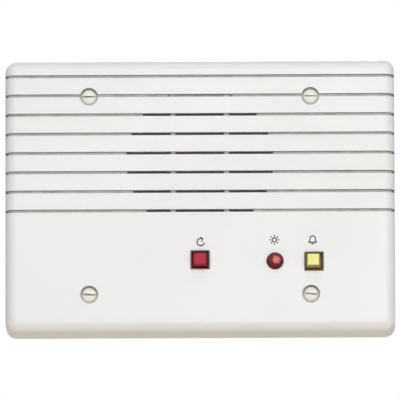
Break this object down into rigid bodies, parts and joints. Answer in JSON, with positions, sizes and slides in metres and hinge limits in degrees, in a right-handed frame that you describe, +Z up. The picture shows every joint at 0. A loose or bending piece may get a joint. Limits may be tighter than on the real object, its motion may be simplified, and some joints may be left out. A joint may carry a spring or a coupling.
{
  "type": "nurse call duty station",
  "caption": "Wall-mounted nurse call duty station with a slotted speaker grille, two push buttons and a signal lamp on a grooved plastic plate.",
  "frame": {"origin": "centre of the four mounting screws on the wall plane, where the housing's rear rim rests", "axes": "+X right across the longer side as seen from the front, +Y into the wall, +Z up; the front faces -Y"},
  "size_m": [0.1618, 0.0301, 0.1142],
  "materials": {
    "housing": "moulded, fine grain",
    "cream_screw": "cream enamel",
    "cloth": "woven black cloth",
    "gasket": "closed-cell foam",
    "steel": "zinc plated",
    "surround": "coated cloth",
    "cone": "pressed paper",
    "copper": "enamelled wire",
    "spider": "resin-dipped cloth",
    "ferrite": "sintered ferrite",
    "laminate": "phenolic board",
    "brass": "plain",
    "red_wire": "insulation",
    "black_wire": "insulation",
    "white_plastic": "moulded",
    "board": "solder mask",
    "red_lens": "tinted lens",
    "black_plastic": "moulded",
    "tin": "tinned",
    "green_plastic": "moulded",
    "blue_plastic": "moulded",
    "capacitor_sleeve": "shrink sleeve",
    "resistor_coat": "lacquer",
    "red_cap": "translucent moulding",
    "yellow_cap": "translucent moulding",
    "spring_steel": "music wire"
  },
  "bodies": {
    "station": {"board_screws": "steel", "call_return_spring": "spring_steel", "call_switch_body": "black_plastic", "call_switch_cover": "black_plastic", "call_switch_pins": "tin", "capacitors": "capacitor_sleeve", "circuit_board": "board", "diode_spacer": "black_plastic", "driver_chip": "black_plastic", "driver_chip_legs": "tin", "emergency_diode": "red_lens", "emergency_diode_legs": "tin", "emergency_lens": "red_lens", "front_housing": "housing", "grille_cloth": "cloth", "lens_retainer": "black_plastic", "mounting_screws": "cream_screw", "reset_return_spring": "spring_steel", "reset_switch_body": "black_plastic", "reset_switch_cover": "black_plastic", "reset_switch_pins": "tin", "resistors": "resistor_coat", "speaker_basket": "steel", "speaker_clip_screws": "steel", "speaker_clips": "steel", "speaker_gasket": "gasket", "speaker_header": "white_plastic", "speaker_lead_black": "black_wire", "speaker_lead_red": "red_wire", "speaker_lugs": "brass", "speaker_magnet": "ferrite", "speaker_plug": "white_plastic", "speaker_pole_piece": "steel", "speaker_spider": "spider", "speaker_surround": "surround", "speaker_terminal_strip": "laminate", "speaker_top_plate": "steel", "terminal_block": "green_plastic", "terminal_clamps": "brass", "terminal_screws": "steel", "volume_trimmer_body": "blue_plastic"},
    "reset_button": {"reset_button_cap": "red_cap", "reset_plunger": "white_plastic", "reset_contact_bridge": "brass"},
    "call_button": {"call_button_cap": "yellow_cap", "call_plunger": "white_plastic", "call_contact_bridge": "brass"},
    "speaker_diaphragm": {"speaker_cone": "cone", "speaker_dust_cap": "cone", "voice_coil": "copper"},
    "volume_rotor": {"volume_trimmer_rotor": "white_plastic"}
  },
  "joints": [
    {"name": "reset_press", "type": "slide", "parent": "station", "child": "reset_button", "axis": [0, 1, 0], "range_m": [0, 0.0015], "stiffness_N_per_m": 250, "springref_m": -0.002, "deforming": ["reset_return_spring"]},
    {"name": "call_press", "type": "slide", "parent": "station", "child": "call_button", "axis": [0, 1, 0], "range_m": [0, 0.0015], "stiffness_N_per_m": 250, "springref_m": -0.002, "deforming": ["call_return_spring"]},
    {"name": "cone_travel", "type": "slide", "parent": "station", "child": "speaker_diaphragm", "axis": [0, 1, 0], "range_m": [-0.0006, 0.0006], "stiffness_N_per_m": 1500, "deforming": ["speaker_surround", "speaker_spider"]},
    {"name": "volume_turn", "type": "hinge", "parent": "station", "child": "volume_rotor", "pos_m": [0.0392, -0.0022, -0.0281], "axis": [0, 1, 0], "range_deg": [-135, 135]}
  ]
}
